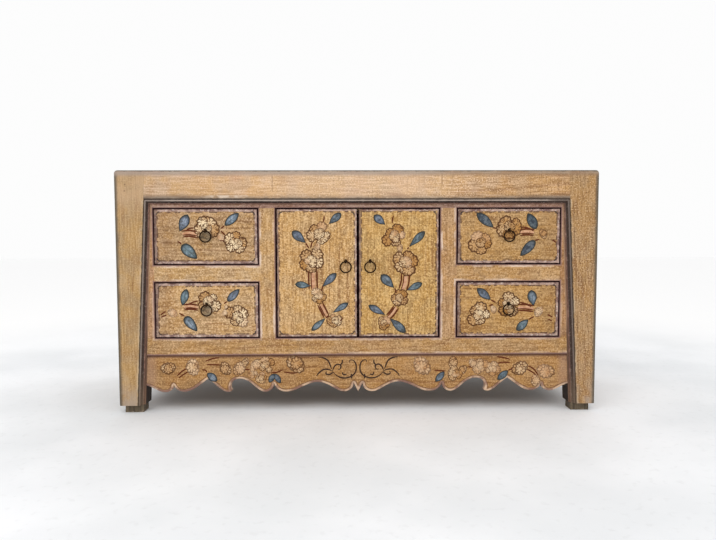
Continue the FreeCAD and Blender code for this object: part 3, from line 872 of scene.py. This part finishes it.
petal_coat, place = new_coat("petal_paint")
rim, side, along, tint, blush = (mark(place, name) for name in Relief.marks)
mottle = place.noise(140, 4)
patches = place.noise(60, 3)
angle = side.math("ARCTAN2", side, along * 2 - 1) + (mottle - 0.5) * 1.1
lobe = abs((angle * (scallops / 2) + math.pi / 2).sine())
folds = lobe.rise(0.66, 0.36) * rim.rise(0.2, 0.4) * (1 - blush * 0.7) * (1 - tint * 0.2)
drawn = rim.rise(0.7, 0.82)
specks = place.noise(240, 1)
fresh = lobe.rise(0.4, 0.7).most(specks.rise(0.52, 0.42)) * patches.rise(0.3, 0.46) * (1 - tint)
pink = patches.rise(0.3, 0.7).mix(paint(206, 160, 122), paint(240, 206, 172))
colour = glaze(
    tint.mix(paint(208, 171, 126), paint(182, 133, 74)),
    (mottle.rise(0.5, 0.4) * 0.5, paint(160, 110, 54)),
    (fresh * 0.9, paint(244, 221, 182)),
    (blush * 0.8, pink),
    (folds.most(specks.rise(0.55, 0.64) * (1 - blush)) * 0.85, paint(88, 50, 18)),
    (drawn * (0.95 - blush * 0.7), paint(78, 42, 10)),
)
x, y, z = place.axes()
petals_rubbed = (0.0173, 0.01)
handled_grey = paint(148, 134, 110)
greyed = patches.rise(0.35, 0.65).mix(paint(104, 92, 72), handled_grey)
for pull in ("drawer_upper_left", "drawer_lower_left"):
    colour = (round_spot(x, z, ring_middle(pull), *petals_rubbed) * 0.7).mix(colour, greyed)
lay(colour, 0.5 + mottle * 0.15, mottle * 0.4 - folds - drawn, depth=0.0005)

branch_coat, place = new_coat("branch_paint")
mottle = place.noise(130, 4)
ink = mark(place, "blush").mix(paint(92, 38, 6), paint(56, 38, 28))
bark = mottle.rise(0.4, 0.6).mix(paint(182, 132, 98), paint(210, 164, 130))
colour = mark(place, "tint").mix(bark, ink)
colour = (mottle.rise(0.58, 0.7) * 0.3).mix(colour, paint(162, 108, 72))
lay(colour, 0.5 + mottle * 0.15, mottle, depth=0.0004)

# Places on the apron are in millimetres right of its middle and up from its top. A leaf has its stalk,
# its tip, its breadth and where it is fullest, and a flower or a bud its middle and its radius.
apron_leaves = [
    (-370, -44, -345, -65, 20, 0.5), (-205, -46, -219, -69, 15, 0.5), (-205, -46, -190, -71, 15, 0.5),
    (370, -41, 343, -65, 18, 0.5), (213, -43, 190, -69, 17, 0.5),
]
apron_flowers = [
    (-226, -24, 20), (-260, -46, 12), (-237, -56, 14), (301, -29, 18), (240, -48, 18), (331, -38, 17),
]
apron_buds = [
    (-465, -27, 15), (-399, -29, 17), (-321, -31, 14), (-295, -31, 15), (-273, -19, 9), (-253, -21, 12),
    (-157, -28, 20), (162, -25, 20), (260, -41, 10), (280, -25, 10), (396, -31, 17), (464, -38, 18),
    (230, -20, 12), (434, -66, 12),
]
apron_twigs = [
    [(-444, -52), (-430, -39), (-413, -30)], [(-440, -56), (-422, -44), (-413, -39)],
    [(-374, -15), (-357, -9), (-339, -6)], [(-371, -23), (-337, -24)], [(-279, -36), (-264, -36)],
    [(-383, -36), (-374, -37), (-370, -43)], [(-213, -43), (-200, -43), (-186, -38)],
    [(-183, -42), (-166, -45), (-149, -45)],
    [(187, -40), (216, -42)], [(270, -32), (287, -32)], [(341, -7), (358, -9), (375, -14)],
    [(340, -24), (358, -21), (375, -22)], [(370, -41), (382, -36)], [(418, -30), (433, -38), (445, -54)],
    [(416, -38), (432, -47), (442, -57)],
]
scrolls = [
    [(-102, -54), (-97, -46), (-85, -37), (-72, -37), (-63, -41)],
    [(-98, -6), (-85, -8), (-73, -16), (-65, -36)],
    [(-61, -43), (-70, -49), (-79, -47), (-77, -41)],
    [(-63, -41), (-58, -29), (-50, -24), (-42, -28), (-45, -36), (-51, -36)],
    [(-39, -12), (-39, -20), (-44, -26)],
    [(-63, -41), (-56, -49), (-45, -56), (-30, -58), (-15, -53), (-6, -42), (-5, -26), (-11, -15),
     (-20, -14), (-21, -20)],
    [(-38, -43), (-37, -49), (-28, -49)],
    [(-16, -60), (-16, -47)],
]
dark_leaves = apron_leaves[1:3]
flower_fullness = 1.15
bud_fullness = 1.4
apron_faded = 0.7
twig_breadth, scroll_breadth = 4.6, 4.8
twig_height, scroll_height = 0.5, 0.45
apron_middle = Vector((0, apron_lo.y, apron_top))
leaves = Relief(apron_middle)
for number, spot in enumerate(apron_leaves):
    shade = 0.9 if spot in dark_leaves else 0.35
    leaf(leaves, *spot, tint=0.3 + 0.4 * (number % 2), shade=shade)
leaves.piece("apron_leaves", leaf_coat, "carcass")
petals = Relief(apron_middle)
for number, (x, z, radius) in enumerate(apron_flowers):
    size = flower_fullness * radius
    flower(petals, x, z, size, 100 + number, apron_faded, flush=0.15 + 0.25 * (number % 2))
for number, (x, z, radius) in enumerate(apron_buds):
    room = from_edge(x * mm, apron_top + z * mm) / mm
    size = min(bud_fullness * radius, room)
    bud(petals, x, z, size, 140 + number, apron_faded, blush=0.2 + 0.3 * (number % 2))
petals.piece("apron_flowers", petal_coat, "carcass")
twigs = Relief(apron_middle)
for path in apron_twigs:
    twigs.stroke(path, twig_breadth, twig_height, tint=1.0)
for path in scrolls:
    for turn in (1, -1):
        turned = [(x * turn, z) for x, z in path]
        twigs.stroke(turned, scroll_breadth, scroll_height, tint=1.0, blush=1.0)
twigs.piece("apron_branches", branch_coat, "carcass")


# Drawers. A painted front with rounded arrises, lapped over two sides, with a back and a thin bottom
# let in. Each front has a rim worn grey mauve, a dark line ruled inside it and a mark in each corner.
outer_ends = (0.42, 0.475)
outer_end_darkening = (0.86, 0.84, 0.86, 1.0)
ruled_width = 0.0026
corner_mark = 0.0145
curl_outside = (0.0094 ** 2, 0.0084 ** 2)
curl_inside = (0.0047 ** 2, 0.0063 ** 2)
front_rubbed = (0.0167, 0.011)


def rimmed(node, plan, grain, lo, hi, pull, rim_width, ageing):
    """Dresses a drawer front or a door from lo to hi in aged paint, with a worn rim and a line ruled in it.

    The paint is rubbed grey round the middle of its pull, as far as its plan says."""
    coat, place = new_coat(node + "_paint")
    colour, blotch, height = age(place, plan["ground"], grain, *ageing)
    x, y, z = place.axes()
    # The front darkens towards the cabinet's outer end.
    colour = abs(x).rise(*outer_ends).mix(colour, outer_end_darkening, "MULTIPLY")
    scratches = place.noise((60, 60, 160), 4).rise(0.4, 0.6)
    handled = round_spot(x, z, ring_middle(pull), *front_rubbed) * (0.6 + scratches * 0.4)
    wander = (place.noise(70, 4) - 0.5) * 0.004
    from_side = (x - lo.x).least(hi.x - x)
    from_end = (z - lo.z).least(hi.z - z)
    inside = from_side.least(from_end) + wander
    rim = inside.rise(rim_width + 0.0008, rim_width - 0.0008)
    wear = place.noise(48, 5)
    flecks = place.noise(170, 3).rise(0.54, 0.66)
    rim_tone = glaze(
        wear.rise(0.4, 0.6).mix(paint(112, 86, 88), paint(184, 158, 148)),
        (flecks * 0.6, paint(230, 216, 206)),
        # Painted shade on the rim's left side.
        ((x - lo.x).rise(0.011, 0.008) * 0.55, paint(86, 66, 60)),
    )
    dashes = place.noise(110, 3).rise(0.44, 0.54)
    ruled = inside.rise(rim_width, rim_width + 0.0008) * dashes
    ruled = ruled * inside.rise(rim_width + ruled_width + 0.001, rim_width + ruled_width)
    corner_in = from_side - corner_mark
    corner_up = from_end - corner_mark
    curl = corner_in * corner_in + corner_up * corner_up + wander * 0.008
    corner = curl.rise(*curl_outside) * curl.rise(*curl_inside)
    corner = corner * corner_in.most(corner_up).rise(0.001, -0.001)
    colour = glaze(
        colour,
        (handled * plan["greyed"], handled_grey),
        (rim * 0.85, rim_tone),
        (ruled * 0.85, paint(76, 52, 48)),
        (corner * wear.rise(0.32, 0.44) * 0.85, paint(56, 46, 46)),
        # Painted shade in the gap round the front, over its edges.
        (inside.rise(0.0018, 0.0008), gap_shade),
    )
    lay(colour, 0.5 + blotch * 0.15 + rim * 0.1, height + rim * flecks * 0.5 - ruled)
    dress(node, coat)


# Places in a spray are in millimetres right and up from the middle of its front. A branch has its path
# and its breadth.
drawer_sprays = {
    "drawer_upper_left": {
        "ground": paint(174, 142, 103), "faded": 0.2, "shade": 0.0, "greyed": 0.8,
        "leaves": [(-63, 12, -42, 54, 26, 0.58), (45, 26, 81, 57, 21, 0.5), (-59, -19, -21, -54, 28, 0.38)],
        "flowers": [(3, 20, 30), (72, -16, 31)],
        "buds": [(38, -1, 11)],
        "branches": [([(-57, 6), (-40, 8), (-18, 4)], 14)],
        "twigs": [
            [(-46, 17), (-37, 20), (-28, 21)], [(45, 26), (36, 19)], [(-59, -19), (-63, -14), (-69, -12)],
            [(36, 14), (47, 3)], [(33, -10), (46, -9)],
        ],
    },
    "drawer_lower_left": {
        "ground": paint(186, 153, 111), "faded": 0.3, "shade": 0.1, "greyed": 0.8,
        "leaves": [(-60, 11, -48, 53, 21, 0.55), (49, 21, 80, 52, 19, 0.45), (-55, -15, -24, -52, 24, 0.36)],
        "flowers": [(4, 20, 29), (74, -16, 31)],
        "buds": [(-85, -9, 14), (45, 9, 6), (41, -5, 9)],
        "branches": [([(-57, 7), (-40, 9), (-20, 6)], 12)],
        "twigs": [
            [(-45, 15), (-33, 20), (-20, 23)], [(-54, -14), (-68, -7)], [(-113, -11), (-100, -2)],
            [(-113, -17), (-98, -11)], [(49, 21), (41, 16)],
        ],
    },
    "drawer_upper_right": {
        "ground": paint(172, 137, 91), "faded": 0.9, "shade": 1.0, "greyed": 0.3,
        "leaves": [(-37, 20, -80, 57, 23, 0.56), (67, 16, 45, 56, 25, 0.46), (65, -10, 28, -49, 23, 0.42)],
        "flowers": [(1, 21, 31), (-68, -16, 31)],
        "buds": [(81, 4, 14)],
        "branches": [([(26, 8), (44, 10), (62, 8)], 14)],
        "twigs": [
            [(26, 22), (44, 20), (61, 12)], [(-39, 21), (-31, 18)], [(106, -9), (116, -16)],
            [(64, -11), (74, -8)],
        ],
    },
    "drawer_lower_right": {
        "ground": paint(175, 138, 88), "faded": 0.4, "shade": 0.4, "greyed": 0.3,
        "leaves": [(-42, 23, -77, 52, 21, 0.55), (63, 7, 56, 48, 24, 0.6), (51, -25, 21, -53, 21, 0.55)],
        "flowers": [(0, 11, 33), (-71, -13, 30)],
        "buds": [(-38, -1, 11), (78, -8, 15)],
        "branches": [([(24, 4), (43, 4), (64, 1)], 15)],
        "twigs": [
            [(27, 17), (41, 14), (58, 5)], [(-42, 23), (-30, 17)], [(51, -25), (65, -18)],
            [(97, -13), (110, -20)], [(99, -25), (109, -29)], [(-47, 9), (-36, 12)],
        ],
    },
}
leaf_tints = (0.1, 0.5, 0.9)
bark_height = 0.3
ink_height = 0.6
ink_lines = (-0.5, -0.2, 0.5)
sprig_breadth = 4.4


def spray(lo, hi, body, plan, seed):
    """The painted spray of a drawer front or a door from lo to hi, as leaves, flowers and branches."""
    middle = Vector(((lo.x + hi.x) / 2, face, (lo.z + hi.z) / 2))
    twigs = Relief(middle)
    for path, breadth in plan["branches"]:
        twigs.stroke(path, 0.85 * breadth, bark_height, tint=0.0)
        for beside in ink_lines:
            twigs.stroke(path, 3.2 + 4 * abs(beside), ink_height, tint=1.0, beside=beside * breadth)
    for path in plan["twigs"]:
        twigs.stroke(path, sprig_breadth, ink_height, tint=1.0)
    twigs.piece(body + "_branches", branch_coat, body)
    petals = Relief(middle)
    for number, (x, z, radius) in enumerate(plan["flowers"]):
        flower(petals, x, z, radius, seed + number, plan["faded"])
    for number, (x, z, radius) in enumerate(plan["buds"]):
        bud(petals, x, z, radius, seed + 10 + number, plan["faded"], blush=0.9 - 0.7 * plan["faded"])
    petals.piece(body + "_flowers", petal_coat, body)
    leaves = Relief(middle)
    for number, spot in enumerate(plan["leaves"]):
        leaf(leaves, *spot, leaf_tints[(number + seed) % 3], plan["shade"])
    leaves.piece(body + "_leaves", leaf_coat, body)


box_wood = paint(190, 156, 114)
box_late = paint(158, 120, 80)
drawer_rim = 0.0066
drawer_ageing = (0.65, 0.6, 1.2)
for number, (drawer, plan) in enumerate(drawer_sprays.items()):
    lo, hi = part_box(drawer + "_front")
    rimmed(drawer + "_front", plan, 0, lo, hi, drawer, drawer_rim, drawer_ageing)
    bare_wood(drawer + "_box", 1, box_wood, box_late)
    bare_wood(drawer + "_bottom", 0, box_wood, box_late)
    spray(lo, hi, drawer, plan, 11 * number)


# Doors. One painted board each, on pins at the top and bottom of its outer edge that turn in the rails.
# The same worn rim and ruled line go round it, and a tall spray climbs from the bottom to the top.
door_sprays = {
    "door_left": {
        "ground": paint(189, 154, 107), "faded": 0.5, "shade": 0.4, "greyed": 0.15,
        "leaves": [
            (-26, 73, -60, 103, 23, 0.62), (29, 119, 60, 146, 19, 0.6), (-13, -31, -54, -26, 18, 0.62),
            (12, -34, 48, 1, 19, 0.62), (37, -97, 77, -72, 16, 0.62), (21, -109, -15, -141, 16, 0.6),
        ],
        "flowers": [(5, 97, 31), (-14, 30, 35), (4, -56, 20), (43, -115, 20)],
        "buds": [(-1, 66, 11)],
        "branches": [([(-10, 8), (-10, -12), (-9, -40)], 20), ([(7, -74), (15, -90), (23, -106)], 13)],
        "twigs": [
            [(-27, 74), (-19, 60)], [(14, -30), (10, -45)], [(21, -109), (29, -102)],
            [(18, 140), (18, 133), (16, 124)], [(-11, 77), (-15, 61)], [(51, -120), (63, -109)],
        ],
    },
    "door_right": {
        "ground": paint(185, 150, 96), "faded": 0.75, "shade": 0.4, "greyed": 0.15,
        "leaves": [
            (24, 63, 64, 102, 19, 0.62), (-33, 117, -61, 141, 21, 0.6), (-11, -37, -44, -3, 24, 0.62),
            (18, -43, 58, -24, 18, 0.62), (-32, -103, -75, -78, 18, 0.62), (-22, -110, 18, -147, 21, 0.6),
        ],
        "flowers": [(-10, 89, 31), (16, 28, 34), (2, -61, 23), (-36, -122, 18)],
        "buds": [(5, 61, 11)],
        "branches": [([(16, 0), (15, -22), (9, -42)], 19), ([(-6, -82), (-15, -96), (-26, -108)], 13)],
        "twigs": [[(24, 63), (20, 58)], [(-10, -36), (-6, -48)], [(-13, 139), (-16, 130), (-16, 120)]],
    },
}
door_gap = 0.002
door_rim = 0.005
door_ageing = (0.75, 0.75, 1.2)
for number, (door, plan) in enumerate(door_sprays.items()):
    lo, hi = between(door + "_panel", 2, (opening_low + door_gap, opening_high - door_gap))
    rimmed(door + "_panel", plan, 2, lo, hi, door, door_rim, door_ageing)
    spray(lo, hi, door, plan, 60 + 11 * number)


# Ring pulls. A ring of blackened iron wire hangs in the eye of a cotter pin, which goes through a washer
# and the board and is clinched behind it. Handling has polished the rings a little.
coat, place = new_coat("black_iron")
dimples = place.noise(240, 3)
rust = place.noise(120, 4).rise(0.54, 0.7)
polish = place.noise(60, 2).rise(0.45, 0.65)
colour = polish.mix(paint(30, 15, 3), paint(58, 36, 14))
colour = (rust * 0.6).mix(colour, paint(88, 54, 30))
(0.6 - rust * 0.4).into("Metallic")
lay(colour, 0.55 + rust * 0.25, dimples)
for pull in (*drawer_sprays, *door_sprays):
    dress(pull + "_eye", coat)
    dress(pull + "_ring", coat)


# Floor, light and camera: a pale floor that fades into white, with a painted shadow under the cabinet, a
# bright even room and one large soft lamp in front. The camera stands two steps before the front, a
# little lower than the top.
floor = into_scene("floor", bpy.data.meshes.new("floor"))
floor_reach = 9.0
corners = [(x * floor_reach, y * floor_reach, 0) for x, y in ((-1, -1), (1, -1), (1, 1), (-1, 1))]
floor.data.from_pydata(corners, [], [(0, 1, 2, 3)])
coat, place = new_coat("pale_floor")
speckle = place.noise(60, 5)
patches = place.noise(2.2, 4)
far = place.node("ShaderNodeVectorMath", {"operation": "LENGTH"}, {0: place}, "Value").rise(0.8, 2.2)
colour = patches.rise(0.3, 0.7).mix(paint(228, 231, 234), paint(244, 246, 249))
colour = (speckle.rise(0.56, 0.7) * 0.12).mix(colour, paint(186, 187, 188))
x, y, z = place.axes()
# A painted shadow under the cabinet.
cabinet_shadow = abs(x).rise(0.6, 0.48) * y.rise(-0.19, -0.05) * y.rise(0.29, 0.19)
colour = (cabinet_shadow * 0.75).mix(colour, paint(114, 114, 115))
colour = far.mix(colour, paint(252, 252, 252))
lay(colour, 0.8 + speckle * 0.1, speckle * (1 - far), depth=0.0005)
floor.data.materials.append(coat)

world = bpy.data.worlds.new("white_room")
bpy.context.scene.world = world
world.use_nodes = True
room_light = world.node_tree.nodes["Background"].inputs
room_light["Color"].default_value = (1.0, 1.0, 1.0, 1.0)
room_light["Strength"].default_value = 0.98

lamp = into_scene("soft_lamp", bpy.data.lights.new("soft_lamp", "AREA"))
lamp.data.shape = "RECTANGLE"
lamp.data.size = 2.4
lamp.data.size_y = 1.4
lamp.data.energy = 22.0
lamp.data.color = (1.0, 0.97, 0.93)
lamp.location = (-0.7, -2.3, 2.3)
lit_middle = Vector((0, 0, 0.3))
lamp.rotation_euler = (lit_middle - lamp.location).to_track_quat("-Z", "Y").to_euler()

camera = into_scene("camera", bpy.data.cameras.new("camera"))
camera.data.sensor_width = 36.0
camera.data.lens = 30.17
stand = (-0.0195, -1.6424, 0.4346)
turned_right = math.radians(0.776)
tipped_down = math.radians(3.467)
rolled = math.radians(-0.106)
aim = Matrix.Rotation(-turned_right, 4, "Z") @ Matrix.Rotation(math.pi / 2 - tipped_down, 4, "X")
aim = aim @ Matrix.Rotation(rolled, 4, "Z")
camera.matrix_world = Matrix.Translation(stand) @ aim
bpy.context.scene.camera = camera
bpy.context.scene.view_settings.view_transform = "Standard"
